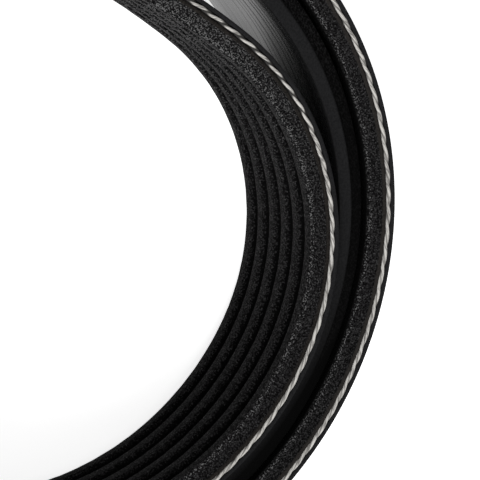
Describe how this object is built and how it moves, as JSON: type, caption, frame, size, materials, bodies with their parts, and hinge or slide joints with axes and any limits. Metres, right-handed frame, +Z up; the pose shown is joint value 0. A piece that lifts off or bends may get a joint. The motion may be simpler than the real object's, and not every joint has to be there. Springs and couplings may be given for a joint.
{
  "type": "serpentine belt",
  "caption": "Endless ribbed rubber drive belt for engine accessories, folded on itself and coiled, lying on a cut edge, with white tension cord bared along its edges.",
  "frame": {"origin": "on the floor under the middle of the coil's outline", "axes": "+Z up along the axis of the coil; the side seen in the picture is towards +Y, and the front fold is towards -X and -Y"},
  "size_m": [0.109, 0.1114, 0.0234],
  "materials": {
    "rubber": "matte",
    "tension_cord": "twisted yarn"
  },
  "bodies": {
    "root": {"belt_body": "rubber", "edge_cord_upper": "tension_cord", "edge_cord_lower": "tension_cord"}
  },
  "joints": []
}
